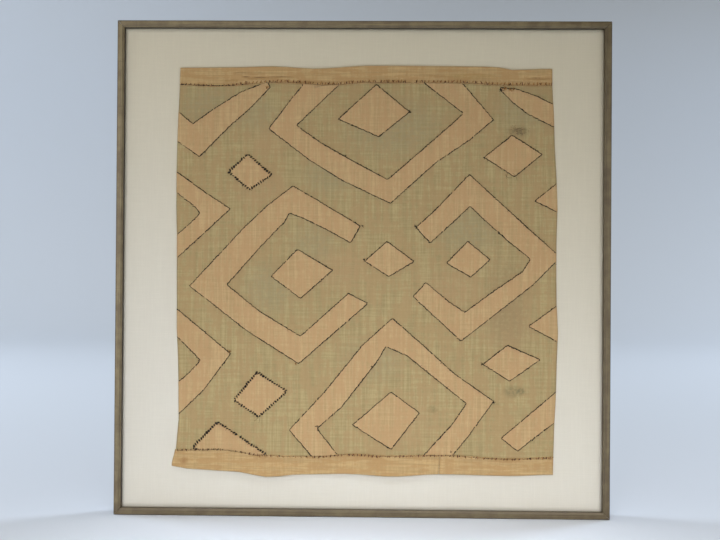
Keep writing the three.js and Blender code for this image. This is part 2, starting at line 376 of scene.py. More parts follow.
@dataclass(frozen=True)
class LinenWeave:
    """Off-white linen, plain-woven with slubs, and faintly foxed: matt and very even."""

    name: str = "unbleached_linen"
    # Real threads are 0.6 mm apart, and are drawn coarser so that the picture shows them.
    pitch: float = 0.0017
    slub: tuple[float, float] = (0.0016, 0.05)
    tones: tuple[str, str] = ("#dad5c7", "#dfdacc")
    # Painted shade, laid darker towards the top and the right
    linen_shade_tint: str = "#f8f3e5"
    # Fox marks lie about 35 mm apart, and few cells have one
    fox_spacing: float = 0.035
    fox_colour: str = "#9c8458"
    fox_strength: float = 0.22

    def build(self) -> bpy.types.Material:
        """Make the linen's material.

        Returns:
            The material.
        """
        s = Shading(self.name)
        fine, long = self.slub
        slubs = s.band(s.grain(fine, long, long, 4.0, 5.0), 0.4, 0.7)
        weft = s.band(s.grain(long, long, fine, 4.0, 6.0), 0.4, 0.7)
        threads = s.sum("MULTIPLY", s.sum("ADD", slubs, weft), 0.5)
        colour = s.mix(threads, *self.tones)
        # Painted shade: darker and warmer towards the top and the right
        linen_shade_share = s.band(s.sum("ADD", s.up, s.sum("MULTIPLY", s.across, 0.3)), 0.0, 0.95)
        colour = s.mix(linen_shade_share, colour, self.linen_shade_tint, "MULTIPLY")
        cells = {"Vector": s.place, "Scale": 1 / self.fox_spacing, "Randomness": 1.0}
        spots = put(s.tree, "ShaderNodeTexVoronoi", {"feature": "F1"}, cells)
        rare = put(s.tree, "ShaderNodeSeparateColor", inputs={0: spots.outputs["Color"]}).outputs[0]
        size = s.band(rare, 0.86, 1.0, 0.0, 0.04)
        fox = s.sum("LESS_THAN", spots.outputs["Distance"], size)
        colour = s.mix(s.sum("MULTIPLY", fox, self.fox_strength), colour, self.fox_colour)
        crown = s.weave(self.pitch, 0.0003)
        return s.finish(colour, 0.9, crown, 0.0002, Specular_IOR_Level=0.2)


class Run(Enum):
    """The way a rail runs, which its leaf and its grain follow."""

    LEVEL = "level"
    UPRIGHT = "upright"


@dataclass(frozen=True)
class MetalLeaf:
    """Champagne metal leaf over gessoed wood: a soft metal gleam, burnished along the rail."""

    run: Run
    # Leaf comes in squares of 85 mm, laid with a narrow lap that shows as a line
    square: float = 0.085
    # Burnishing leaves streaks 1.6 mm wide and 120 mm long
    streak: tuple[float, float] = (0.0016, 0.12)
    tones: tuple[str, str] = ("#665841", "#887a5a")
    lap_tone: str = "#54493a"
    clay: str = "#5a3c2b"
    # Painted shade on the right and bottom rails
    rail_shade_colour: str = "#43382a"
    # Painted shade on the inner slope, the sight sides and the outer edges
    painted_shade_colour: str = "#2b2219"
    # Half the frame's width and height, and the depth where the face ends
    half: tuple[float, float] = (0.462, CENTRE_UP)
    face_ends: tuple[float, float] = (-0.0212, -0.0204)

    def build(self) -> bpy.types.Material:
        """Make the leaf's material for rails that run this way.

        Returns:
            The material.
        """
        s = Shading(f"champagne_leaf_{self.run.value}")
        level = self.run is Run.LEVEL
        along = s.across if level else s.up
        fine, long = self.streak
        brushed = s.grain(long if level else fine, fine, fine if level else long, 4.0, 2.0)
        patina = s.grain(0.02, 0.02, 0.02, 4.0, 7.0)
        uneven = s.sum("ADD", along, s.sum("MULTIPLY", patina, 0.004))
        lap = s.band(s.sum("FRACT", s.sum("DIVIDE", uneven, self.square)), 0.0, 0.02, 1.0, 0.0)
        worn = s.sum("ADD", s.sum("MULTIPLY", brushed, 0.6), s.sum("MULTIPLY", patina, 0.4))
        colour = s.mix(s.band(worn, 0.38, 0.62), *self.tones)
        colour = s.mix(s.sum("MULTIPLY", lap, 0.35), colour, self.lap_tone)
        rubbed = s.band(s.grain(0.006, 0.006, 0.006, 5.0, 11.0), 0.66, 0.74, 0.0, 0.5)
        colour = s.mix(rubbed, colour, self.clay)
        # The right and bottom rails are painted a little darker: painted shade
        right = s.band(s.across, 0.43, 0.448, 0.0, 0.25)
        bottom = s.band(s.up, 0.014, 0.03, 0.35, 0.0)
        colour = s.mix(s.sum("MAXIMUM", right, bottom), colour, self.rail_shade_colour)
        # Painted shade on the inner slope, the sight sides and the outer edges
        colour = s.mix(self.painted_shade(s), colour, self.painted_shade_colour)
        roughness = s.band(brushed, 0.3, 0.7, 0.42, 0.58)
        return s.finish(colour, roughness, brushed, 0.0001, Metallic=0.35)

    def painted_shade(self, s: Shading) -> bpy.types.NodeSocket:
        """Lay painted shade: lightly on the inner slope, heavily on the sight sides and along the outer
        edges.

        Args:
            s: The material under construction.

        Returns:
            How dark it lies, as a socket.
        """
        wide, tall = self.half
        x = s.sum("SUBTRACT", s.sum("ABSOLUTE", s.across), wide)
        z = s.sum("SUBTRACT", s.sum("ABSOLUTE", s.sum("SUBTRACT", s.up, tall)), tall)
        inward = s.sum("MULTIPLY", s.sum("MAXIMUM", x, z), -1.0)
        slope = s.band(inward, 0.0082, 0.0092, 0.0, 0.25)
        behind = s.band(s.deep, *self.face_ends)
        # Painted shade on the sight sides, most at the top and the left; less at the right and the bottom,
        # which face the light
        right = s.band(s.across, 0.43, 0.448, 1.0, 0.3)
        kept = s.sum("MULTIPLY", right, s.band(s.up, 0.014, 0.03, 0.3, 1.0))
        sight = s.sum("MULTIPLY", s.band(inward, 0.0118, 0.0126, 0.0, 0.92), behind)
        sight = s.sum("MULTIPLY", sight, kept)
        # Painted shadow along the outer edges, which draws a dark contact line under the bottom rail
        outer = s.band(inward, 0.0019, 0.0006, 0.0, 0.8)
        return s.sum("MAXIMUM", s.sum("MAXIMUM", slope, sight), outer)


@dataclass(frozen=True)
class Fibreboard:
    """Bare hardboard: brown, matt and evenly mottled, as pressed wood fibre is."""

    name: str = "bare_hardboard"
    tones: tuple[str, str] = ("#8a6f4c", "#a98a61")
    mottle: str = "#7d6242"

    def build(self) -> bpy.types.Material:
        """Make the board's material.

        Returns:
            The material.
        """
        s = Shading(self.name)
        fibre = s.band(s.grain(0.004, 0.004, 0.0015, 5.0, 1.0), 0.35, 0.65)
        cloud = s.band(s.grain(0.1, 0.1, 0.1, 3.0, 8.0), 0.35, 0.65)
        colour = s.mix(fibre, *self.tones)
        colour = s.mix(s.sum("MULTIPLY", cloud, 0.3), colour, self.mottle)
        return s.finish(colour, 0.8, fibre, 0.0002, Specular_IOR_Level=0.3)


@dataclass(frozen=True)
class RaffiaThread:
    """Twisted raffia thread: dry and uneven, with a little shine where the fibre lies flat."""

    name: str
    light: str
    dark: str

    def build(self) -> bpy.types.Material:
        """Make the thread's material.

        Returns:
            The material.
        """
        s = Shading(self.name)
        tone = s.band(s.grain(0.004, 0.004, 0.004, 3.0, 1.0), 0.35, 0.65)
        fibre = s.grain(0.0006, 0.0006, 0.0006, 2.0, 3.0)
        return s.finish(s.mix(tone, self.dark, self.light), 0.7, fibre, 0.0002, Specular_IOR_Level=0.3)


@dataclass(frozen=True)
class Crease:
    """A fold line pressed in the cloth, a soft trough with a ridge below it, in millimetres."""

    start: tuple[float, float]
    end: tuple[float, float]
    wide: float
    deep: float


@dataclass
class ClothRelief:
    """How far the cloth stands forward of its flat solids, all over the panel and its borders."""

    swell: float = 0.0011
    swell_size: float = 0.17
    ripple: float = 0.00022
    ripple_size: float = 0.022
    pucker: float = 0.00035
    pucker_reach: float = 0.011
    pucker_length: float = 0.016
    creases: tuple[Crease, ...] = (
        Crease((-226, 361.5), (-213, 357.5), 2.2, 1.0),
        Crease((-213, 357.5), (-177, 359.6), 2.2, 1.2),
        Crease((-177, 359.6), (-135, 360.7), 2.2, 0.7),
        Crease((-240, 367), (-190, 368), 3.0, 0.5),
        Crease((-140, 351), (-60, 352), 3.0, 0.45),
        Crease((80, 366), (150, 365), 3.0, 0.45),
        Crease((309, 359.2), (340, 358.7), 2.2, 1.2),
        Crease((340, 358.7), (352, 359.5), 2.2, 0.6),
        Crease((-311, 233.4), (-296, 244.2), 2.0, 0.7),
    )
    edge_step: float = 0.002
    # Places in the noise, so that swell and ripple differ
    swell_seed: float = 3.1
    ripple_seed: float = 7.7
    # The ridge below a crease: its share of the depth, and its distance in crease widths
    ridge: float = 0.9
    ridge_below: float = 1.7
    edges: KDTree | None = field(default=None, repr=False)

    def learn_edges(self, outlines: Iterable[Outline]) -> None:
        """Note where the patches are sewn down, because the cloth puckers there."""
        stops = [place for outline in outlines for place, _ in stations(outline, self.edge_step, True)]
        self.edges = tree_of(stops)

    def forward(self, x: float, z: float) -> float:
        """Work out how far forward the cloth stands.

        Args:
            x: The place from side to side, in metres.
            z: The place's height.

        Returns:
            The distance in front of the flat solids, in metres and never behind them.
        """
        wide = noise.noise(Vector((x, self.swell_seed, z)) / self.swell_size)
        fine = noise.noise(Vector((x * 1.6, self.ripple_seed, z)) / self.ripple_size)
        rise = self.swell * (0.8 + wide) + self.ripple * fine
        if self.edges is not None:
            _, index, far = self.edges.find((x, 0.0, z))
            wave = math.sin(math.tau * index * self.edge_step / self.pucker_length + 3.0 * wide)
            rise += self.pucker * math.exp(-((far / self.pucker_reach) ** 2)) * wave
        for crease in self.creases:
            rise -= self.crease_depth(crease, x, z)
        return max(rise, 0.0)

    def crease_depth(self, crease: Crease, x: float, z: float) -> float:
        """Work out how deep one crease is.

        Args:
            crease: The crease.
            x: The place from side to side, in metres.
            z: The place's height.

        Returns:
            The depth in metres, less than nothing on the ridge below the crease.
        """
        start, end = from_centre(*crease.start), from_centre(*crease.end)
        place = Vector((x, 0.0, z))
        run = end - start
        share = (place - start).dot(run) / run.length_squared
        held = min(max(share, 0.0), 1.0)
        off = place - start - run * held
        far = math.copysign(off.length, off.z) / (crease.wide * MM)
        beyond = (share - held) * run.length / (crease.wide * MM)
        ridge = self.ridge * math.exp(-((far + self.ridge_below) ** 2) - beyond * beyond)
        return crease.deep * MM * (math.exp(-far * far) - ridge)


def loop_of(bm: bmesh.types.BMesh) -> Outline:
    """Follow the boundary of a flat mesh.

    Args:
        bm: A mesh with one boundary.

    Returns:
        Its corners in order, anticlockwise for someone who faces the front.
    """
    edge = next(e for e in bm.edges if e.is_boundary)
    walk = [edge.verts[0]]
    while (after := edge.other_vert(walk[-1])) is not walk[0]:
        walk.append(after)
        edge = next(e for e in after.link_edges if e.is_boundary and e is not edge)
    points = [v.co.copy() for v in walk]
    turn = sum(a.x * b.z - b.x * a.z for a, b in zip(points, points[1:] + points[:1]))
    return points if turn > 0 else points[::-1]


def stations(points: Outline, step: float, closed: bool) -> list[tuple[Vector, Vector]]:
    """Walk along a line and stop at equal steps.

    Args:
        points: The line's corners.
        step: Distance between two stops, in metres.
        closed: Whether the line returns to its start.

    Returns:
        The place and the direction at each stop.
    """
    stops = []
    left = step * 0.5
    ends = points[1:] + points[:1] if closed else points[1:]
    for start, end in zip(points, ends):
        run = end - start
        length = run.length
        while left <= length and length > 0:
            stops.append((start + run * (left / length), run.normalized()))
            left += step
        left -= length
    return stops


def tree_of(points: Iterable[Vector]) -> KDTree:
    """Make a search tree of places on the cloth.

    Args:
        points: The places, whose depth is left out.

    Returns:
        The tree.
    """
    flat = [Vector((p.x, 0.0, p.z)) for p in points]
    tree = KDTree(len(flat))
    for index, point in enumerate(flat):
        tree.insert(point, index)
    tree.balance()
    return tree


def node_copy(node: str) -> bmesh.types.BMesh:
    """Copy a CAD node's shape and merge its loose triangles.

    Args:
        node: The node's name.

    Returns:
        A clean mesh of its own.
    """
    bm = bmesh.new()
    bm.from_mesh(bpy.data.objects[node].data)
    bmesh.ops.remove_doubles(bm, verts=bm.verts, dist=NOTHING)
    return bm


def front_only(bm: bmesh.types.BMesh) -> None:
    """Keep the faces of a flat solid that look to the front.

    Args:
        bm: The solid's mesh, which is changed.
    """
    bm.normal_update()
    others = [f for f in bm.faces if f.normal.y > -0.5]
    bmesh.ops.delete(bm, geom=others, context="FACES")


def one_face(bm: bmesh.types.BMesh) -> None:
    """Join the faces of a flat mesh that lie in one plane.

    Args:
        bm: The mesh, which is changed.
    """
    bmesh.ops.dissolve_limit(bm, angle_limit=math.radians(1), verts=bm.verts, edges=bm.edges)


def ease_edges(bm: bmesh.types.BMesh, edges: list[bmesh.types.BMEdge], width: float) -> None:
    """Round some edges.

    Args:
        bm: The mesh, which is changed.
        edges: The edges.
        width: How much is taken off each, in metres.
    """
    bmesh.ops.bevel(
        bm,
        geom=edges,
        offset=width,
        segments=2,
        profile=0.5,
        affect="EDGES",
        material=-1,
        clamp_overlap=True,
    )


def add_piece(
    name: str,
    bm: bmesh.types.BMesh,
    material: bpy.types.Material,
    replaces: tuple[str, ...] = (),
    soft: bool = True,
) -> bpy.types.Object:
    """Turn a finished mesh into a piece that rides with the frame.

    Args:
        name: The piece's name.
        bm: Its mesh, which is freed.
        material: Its finish.
        replaces: The CAD nodes that it stands for.
        soft: Whether its faces are shaded smooth.

    Returns:
        The new object.
    """
    mesh = bpy.data.meshes.new(name)
    for face in bm.faces:
        face.smooth = soft
    bm.to_mesh(mesh)
    bm.free()
    mesh.materials.append(material)
    piece = bpy.data.objects.new(name, mesh)
    bpy.context.scene.collection.objects.link(piece)
    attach(piece, BODY)
    if replaces:
        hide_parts(*replaces)
    log.info("%s: %d faces", name, len(mesh.polygons))
    return piece


def thicken(piece: bpy.types.Object, thickness: float) -> None:
    """Give a sheet its thickness, behind the face that shows.

    Args:
        piece: The sheet.
        thickness: In metres.
    """
    shell = piece.modifiers.new("thickness", "SOLIDIFY")
    shell.thickness = thickness
    shell.offset = -1.0
    shell.use_rim = True


RAILS = {
    "frame_rail_bottom": Run.LEVEL,
    "frame_rail_top": Run.LEVEL,
    "frame_rail_left": Run.UPRIGHT,
    "frame_rail_right": Run.UPRIGHT,
}


@dataclass
class Frame:
    """The four mitred rails, with their sharp edges eased as gesso and leaf ease them."""

    ease: float = 0.0004
    sharp: float = 28.0

    def rail(self, node: str) -> bmesh.types.BMesh:
        """Make one rail.

        Args:
            node: Its CAD node.

        Returns:
            The rail's mesh, its solid's edges rounded.
        """
        bm = node_copy(node)
        one_face(bm)
        least = math.radians(self.sharp)
        sharp = [e for e in bm.edges if e.is_manifold and e.calc_face_angle() > least]
        ease_edges(bm, sharp, self.ease)
        return bm

    def build(self) -> None:
        """Make the rails."""
        finishes = {run: MetalLeaf(run).build() for run in Run}
        for node, run in RAILS.items():
            made = self.rail(node)
            add_piece(f"leafed_{node}", made, finishes[run], (node,), soft=False)


@dataclass
class Backing:
    """The board in the rabbet and the linen stretched over its face."""

    ease: float = 0.0005
    linen_span: float = 0.9
    linen_cell: float = 0.012
    linen_thickness: float = 0.0008
    # How far the stretched linen strays from flat, and over what distance
    unevenness: float = 0.00012
    uneven_size: float = 0.06

    def board(self) -> bmesh.types.BMesh:
        """Make the board.

        Returns:
            Its mesh, the sawn edges eased.
        """
        bm = node_copy("mount_board")
        one_face(bm)
        ease_edges(bm, list(bm.edges), self.ease)
        return bm

    def linen(self) -> bmesh.types.BMesh:
        """Make the linen's face.

        Returns:
            Its mesh, cut into cells and drawn very slightly uneven.
        """
        bm = node_copy("linen_cover")
        front_only(bm)
        one_face(bm)
        cuts = round(self.linen_span / self.linen_cell)
        bmesh.ops.subdivide_edges(bm, edges=bm.edges, cuts=cuts, use_grid_fill=True)
        for v in bm.verts:
            place = Vector((v.co.x, 1.0, v.co.z)) / self.uneven_size
            v.co.y += self.unevenness * noise.noise(place)
        return bm

    def build(self) -> None:
        """Make the board and the linen."""
        add_piece("hardboard", self.board(), Fibreboard().build(), ("mount_board",), soft=False)
        linen = add_piece("linen", self.linen(), LinenWeave().build(), ("linen_cover",))
        thicken(linen, self.linen_thickness)


GREEN = "#a09470"
BROWN = "#b3936a"
HANDLED = "#9b8660"
DARNED = "#77694a"
DAMP = "#6f6f4e"
DAMP_CORE = "#66684a"
DAMP_FAINT = "#77754f"
GROUND_STAINS = (
    Stain(58, 268, 130, 80, GREEN, 0.55),
    Stain(-64, 175, 70, 50, GREEN, 0.5),
    Stain(199, 73, 80, 70, GREEN, 0.55),
    Stain(-177, -39, 70, 70, GREEN, 0.5),
    Stain(-92, 45, 60, 60, GREEN, 0.45),
    Stain(21, -170, 80, 60, GREEN, 0.4),
    Stain(300, 300, 70, 60, GREEN, 0.5),
    Stain(-290, 300, 90, 60, GREEN, 0.55),
    Stain(-200, 290, 60, 50, GREEN, 0.45),
    Stain(162, -39, 80, 60, BROWN, 0.5),
    Stain(274, -95, 70, 80, BROWN, 0.45),
    Stain(-45, -2, 80, 50, BROWN, 0.5),
    Stain(68, -291, 120, 70, BROWN, 0.4),
    Stain(-190, 150, 70, 60, BROWN, 0.5),
    Stain(290, 259, 26, 14, DARNED, 0.55),
    Stain(-180, 235, 60, 40, BROWN, 0.4),
    Stain(268, -50, 60, 110, HANDLED, 0.5),
    Stain(275, -110, 60, 60, HANDLED, 0.4),
    Stain(284, -228, 26, 16, DAMP, 0.5),
    Stain(298, -227, 10, 8, DAMP_CORE, 0.5),
    Stain(133, -262, 14, 10, DAMP_FAINT, 0.45),
)
# Painted shade along the creases in the top border: thin dark lines in the folds
FOLD_SHADE = "#6f5434"
OLD_DIRT = "#93713f"
RUST = "#93673c"
PALE_WEAR = "#a88a52"
BORDER_STAINS = (
    Stain(-332, -362, 14, 8, RUST, 0.5),
    Stain(-220, 359.6, 9, 1.7, FOLD_SHADE, 0.75),
    Stain(-196, 358.6, 22, 1.4, FOLD_SHADE, 0.7),
    Stain(-160, 360.2, 20, 1.2, FOLD_SHADE, 0.55),
    Stain(325, 359.2, 17, 1.5, FOLD_SHADE, 0.7),
    Stain(344, 359.2, 8, 1.1, FOLD_SHADE, 0.4),
    Stain(-230, 367, 26, 2.0, FOLD_SHADE, 0.25),
    Stain(-250, 352, 30, 5.0, OLD_DIRT, 0.4),
    Stain(-120, 350, 40, 4.0, OLD_DIRT, 0.3),
    Stain(60, 352, 60, 4.0, OLD_DIRT, 0.25),
    Stain(200, 362, 60, 8.0, PALE_WEAR, 0.5),
)
GREEN_WEAVE = RaffiaWeave(
    "green_dyed_raffia_weave", "#bba777", "#9f8d62", "#af9367", 0.85, 0.42, GROUND_STAINS
)
BORDER_WEAVE = RaffiaWeave(
    "undyed_raffia_weave_border", "#cbab78", "#b09365", "#b79261", 0.9, 0.66, BORDER_STAINS
)
PATCH_WEAVE = RaffiaWeave("undyed_raffia_weave_patch", "#ccac7d", "#b19568", "#bf9b6e", 0.75, 0.35)


@dataclass(frozen=True)
class Pull:
    """A corner that the sewing drew aside: where it was cut, how far it moved and what it takes along.

    All are in millimetres, from the middle of the frame.
    """

    right: float
    up: float
    by_right: float
    by_up: float
    reach: float = 11.0

    def away(self, place: Vector) -> float:
        """Return how far a place is from the cut corner, as a share of the reach."""
        corner = from_centre(self.right, self.up)
        return math.hypot(place.x - corner.x, place.z - corner.z) / (self.reach * MM)

    def by(self) -> Vector:
        """Return how far the corner moved, in metres."""
        return Vector((self.by_right, 0.0, self.by_up)) * MM


@dataclass
class RaffiaCloth:
    """The ground panel and its three border strips, woven cloth laid on the linen."""

    relief: ClothRelief
    ground_cuts: tuple[int, int] = (6, 14)
    border_cuts: tuple[int, int] = (9, 8)
    thickness: float = 0.0009
    lap_width: float = 0.0018
    lap_rise: float = 0.0004
    lap_ease: float = 0.009
    edge_step: float = 0.001
    # Triangles that meet at less than this, in degrees, are joined into cells
    same_strip: float = 40.0
    hanging: str = "border_lower_left"
    hang: Pull = Pull(-353, -366, -4.7, 0.5, 35)

    def strip(self, node: str, cuts: tuple[int, int], lap: int = 0) -> bmesh.types.BMesh:
        """Make one cloth, cut into fine cells, its corner drawn aside, laid over the relief.

        Args:
            node: The CAD node whose front the cloth follows.
            cuts: How many times each of the solid's cells is cut, across and up.
            lap: 1 or -1 for a border that laps down or up over the panel's edge.

        Returns:
            The sheet's mesh, open at the back.
        """
        bm = node_copy(node)
        front_only(bm)
        most = math.radians(self.same_strip)
        bmesh.ops.join_triangles(
            bm, faces=bm.faces, angle_face_threshold=most, angle_shape_threshold=most
        )
        for level, count in ((True, cuts[0]), (False, cuts[1])):
            runs = [e for e in bm.edges if self.is_level(e) is level]
            bmesh.ops.subdivide_edges(bm, edges=runs, cuts=count, use_grid_fill=True)
        edge = stations(self.outline("raffia_panel"), self.edge_step, True)
        panel = tree_of(place for place, _ in edge)
        for v in bm.verts:
            over = 0.0
            if lap:
                over = smooth(1.0 - panel.find((v.co.x, 0.0, v.co.z))[2] / self.lap_ease)
            if node == self.hanging:
                v.co += self.hang.by() * smooth(1.0 - self.hang.away(v.co))
            v.co.z -= lap * over * self.lap_width
            v.co.y -= self.relief.forward(v.co.x, v.co.z) + over * self.lap_rise
        return bm

    @staticmethod
    def outline(node: str) -> Outline:
        """Follow a cloth's edge.

        Args:
            node: The cloth's CAD node.

        Returns:
            The outline of its solid's front.
        """
        bm = node_copy(node)
        front_only(bm)
        points = loop_of(bm)
        bm.free()
        return points

    @staticmethod
    def is_level(edge: bmesh.types.BMEdge) -> bool:
        """Tell whether an edge runs across the cloth more than up it."""
        run = edge.verts[1].co - edge.verts[0].co
        return abs(run.x) > abs(run.z)

    def build(self) -> None:
        """Make the panel and the borders."""
        ground = GREEN_WEAVE.build()
        border = BORDER_WEAVE.build()
        made = self.strip("raffia_panel", self.ground_cuts)
        panel = add_piece("raffia_ground", made, ground, ("raffia_panel",))
        self.declare(panel)
        for node in ("border_top", "border_lower_left", "border_lower_right"):
            made = self.strip(node, self.border_cuts, 1 if node == "border_top" else -1)
            self.declare(add_piece(f"raffia_{node}", made, border, (node,)))

    def declare(self, piece: bpy.types.Object) -> None:
        """Give a cloth its thickness.

        Args:
            piece: The cloth.
        """
        thicken(piece, self.thickness)


@dataclass(frozen=True)
class Overcast:
    """One way of sewing a patch down: sizes in metres, the slant and its wander in degrees.

    Skipped and fuzz are the shares of the stitches that are missing or have a stray fibre.
    """

    # Real thread is 0.5 to 1 mm thick, and is drawn coarser so that the picture shows it.
    length: float
    thick: float
    slant: float
    spacing: float
    inset: float
    skipped: float
    fuzz: float
    wander: float = 9.0


class Hand(Enum):
    """The two hands that sewed this cloth: fine overcasting, and coarse separate whip stitches."""

    FINE = Overcast(0.0042, 0.0015, 14.0, 0.0029, 0.0003, 0.03, 0.02)
    COARSE = Overcast(0.0056, 0.0030, 58.0, 0.0050, 0.0002, 0.02, 1.0, 26.0)


@dataclass(frozen=True)
class Patch:
    """A patch: its CAD node, the width of the strip it is cut from, who sewed it on and its pulls."""

    node: str
    strip: float = 0.0
    hand: Hand = Hand.FINE
    pulls: tuple[Pull, ...] = ()


PATCHES = (
    Patch("patch_corner_band_upper", 0.045, pulls=(Pull(-317, 272, -5.0, 0.0), Pull(-314, 212, 4.5, -1.0))),
    Patch("patch_chevron_left_upper", 0.045, pulls=(Pull(-251, 108, 1.4, 5.6),)),
    Patch(
        "patch_chevron_left_lower",
        0.045,
        pulls=(Pull(-253, -170, 1.4, 14.0), Pull(-318, -170, 10.3, -9.8)),
    ),
    Patch(
        "patch_top_band",
        0.045,
        pulls=(
            Pull(255, 274, -10.3, 2.8),
            Pull(190, 285, -2.8, 9.8, 7.0),
            Pull(179, 267, -6.0, 6.5, 7.0),
            Pull(-122, 269, -3.0, 0.0),
        ),
    ),
    Patch("patch_corner_band_right", 0.04),
    Patch(
        "patch_left_band",
        0.045,
        pulls=(
            Pull(-6, -72, 9.4, 8.9),
            Pull(-132, 102, -7.0, 1.4),
            Pull(-140, 153, 5.0, 0.5),
            Pull(-119, -178, -4.4, 2.0),
            Pull(-123, -127, 3.1, 1.5),
            Pull(-323, -31, -2.8, 3.7),
        ),
    ),
    Patch("patch_right_band", 0.045, pulls=(Pull(190, -133, -8.1, -0.5),)),
    Patch(
        "patch_lower_band",
        0.045,
        pulls=(
            Pull(51, -147, -9.4, 1.9),
            Pull(33, -169, -4.0, 2.0),
            Pull(46, -94, 9.3, 2.2),
            Pull(-84, -301, -1.9, 4.5),
            Pull(193, -253, -1.2, 3.0),
        ),
    ),
    Patch("patch_corner_band_lower", 0.04, pulls=(Pull(261, -316, -3.6, 0.5), Pull(287, -342, 2.5, 3.4))),
    Patch("patch_diamond_upper_left", hand=Hand.COARSE),
    Patch("patch_diamond_top"),
    Patch("patch_diamond_upper_right"),
    Patch("patch_diamond_left"),
    Patch("patch_diamond_centre"),
    Patch("patch_diamond_right"),
    Patch("patch_diamond_lower_right"),
    Patch("patch_diamond_lower", pulls=(Pull(-18, -290, -3.1, 0.0), Pull(51, -233, -1.0, 3.0))),
    Patch("patch_diamond_lower_left", hand=Hand.COARSE, pulls=(Pull(-185, -269, -3.5, 0.0),)),
    Patch("patch_half_diamond_foot", hand=Hand.COARSE),
    Patch("patch_half_diamond_right_upper", pulls=(Pull(325, 132, -3.3, -2.3),)),
    Patch("patch_half_diamond_right_lower", pulls=(Pull(317, -107, -4.7, 0.5),)),
)


@dataclass
class PatchWork:
    """The patches, each with its edge turned under, standing on the ground's relief."""

    relief: ClothRelief
    cell: float = 0.005
    # The turned edge is rounded in two steps, each this far inside the last
    rims: tuple[float, ...] = (0.0007, 0.0014)
    thickness: float = 0.0005
    # Height over the ground at each distance from the edge, in metres: two layers, then one
    profile: tuple[tuple[float, float], ...] = (
        (0.0, 0.00055),
        (0.0007, 0.0011),
        (0.002, 0.0013),
        (0.006, 0.00125),
        (0.0095, 0.001),
    )
    rim_step: float = 0.0008
    outlines: dict[str, Outline] = field(default_factory=dict, repr=False)

    def trace(self) -> None:
        """Note each patch's outline, from its solid."""
        for patch in PATCHES:
            bm = self.flat(patch)
            self.outlines[patch.node] = loop_of(bm)
            bm.free()

    @staticmethod
    def flat(patch: Patch) -> bmesh.types.BMesh:
        """Make the flat front of a patch, its corners drawn aside.

        Args:
            patch: The patch.

        Returns:
            A mesh of one face.
        """
        bm = node_copy(patch.node)
        front_only(bm)
        one_face(bm)
        for pull in patch.pulls:
            for v in bm.verts:
                if pull.away(v.co) < 1.0:
                    v.co += pull.by()
        return bm

    def height(self, far: float) -> float:
        """Work out how far a patch stands over the ground.

        Args:
            far: The distance from the patch's edge, in metres.

        Returns:
            The height, in metres.
        """
        for (near, low), (end, high) in zip(self.profile, self.profile[1:]):
            if far < end:
                return low + (high - low) * smooth((far - near) / (end - near))
        return self.profile[-1][1]

    def sheet(self, patch: Patch) -> bmesh.types.BMesh:
        """Make one patch.

        Args:
            patch: The patch.

        Returns:
            Its mesh, the rim rounded and the face cut into cells over the relief.
        """
        bm = self.flat(patch)
        for cuts in sorted({int(e.calc_length() / self.cell) for e in bm.edges}):
            edges = [e for e in bm.edges if int(e.calc_length() / self.cell) == cuts]
            if cuts:
                bmesh.ops.bisect_edges(bm, edges=edges, cuts=cuts)
        for wide in self.rims:
            middle = max(bm.faces, key=lambda f: f.calc_area())
            bmesh.ops.inset_region(
                bm, faces=[middle], thickness=wide, use_boundary=True, use_even_offset=True
            )
        low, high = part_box(patch.node)
        for axis in (Vector((1, 0, 0)), Vector((0, 0, 1))):
            first = math.ceil(Vector(low).dot(axis) / self.cell)
            last = math.floor(Vector(high).dot(axis) / self.cell)
            for count in range(first, last + 1):
                place = axis * (count * self.cell)
                whole = [*bm.verts, *bm.edges, *bm.faces]
                bmesh.ops.bisect_plane(bm, geom=whole, dist=1e-5, plane_co=place, plane_no=axis)
        edge = stations(self.outlines[patch.node], self.rim_step, True)
        rim = tree_of(place for place, _ in edge)
        for v in bm.verts:
            far = rim.find((v.co.x, 0.0, v.co.z))[2]
            v.co.y = -GROUND_FRONT - self.height(far) - self.relief.forward(v.co.x, v.co.z)
        return bm

    def build(self) -> None:
        """Make the patches."""
        finish = PATCH_WEAVE.build()
        for patch in PATCHES:
            bm = self.sheet(patch)
            flat = self.flat(patch)
            area = sum(f.calc_area() for f in flat.faces)
            flat.free()
            name = patch.node.replace("patch_", "raffia_")
            piece = add_piece(name, bm, finish, (patch.node,))
            thicken(piece, self.thickness)


class Thread(Enum):
    """The raffia threads that the seams are whipped with."""

    DARK = "dark"
    TAN = "tan"
    RED = "red"


@dataclass(frozen=True)
class TickRun:
    """A stretch of whip stitches across a seam, its sizes in millimetres.

    Rise is how far over the seam they stand, and lean how far they slope for each millimetre up.
    """

    seam: str
    thread: Thread
    start: float
    end: float
    spacing: float
    length: float
    thick: float
    rise: float
    lean: float


TICK_RUNS = (
    TickRun("top", Thread.DARK, -345, -225, 4.3, 4.2, 1.7, 0.0, 3.0),
    TickRun("top", Thread.RED, -345, -225, 8.0, 4.2, 1.8, 1.2, 0.3),
    TickRun("top", Thread.DARK, -225, 356, 40.0, 3.6, 1.5, 1.2, 0.3),
    TickRun("top", Thread.TAN, -235, 356, 7.5, 6.4, 1.8, 2.6, 0.35),
    TickRun("top", Thread.RED, -235, 356, 11.0, 5.6, 1.7, 2.4, -0.3),
    TickRun("foot", Thread.DARK, -345, -200, 8.4, 5.0, 1.6, 0.9, 0.3),
    TickRun("foot", Thread.RED, -345, -150, 8.0, 5.0, 1.6, 0.6, -0.3),
    TickRun("foot", Thread.DARK, -190, 356, 26.0, 3.0, 1.4, 0.4, 0.3),
    TickRun("foot", Thread.RED, -90, 356, 7.2, 5.0, 1.9, -0.2, 0.3),
    TickRun("foot", Thread.TAN, -190, 356, 11.0, 4.6, 1.8, -0.8, -0.2),
)


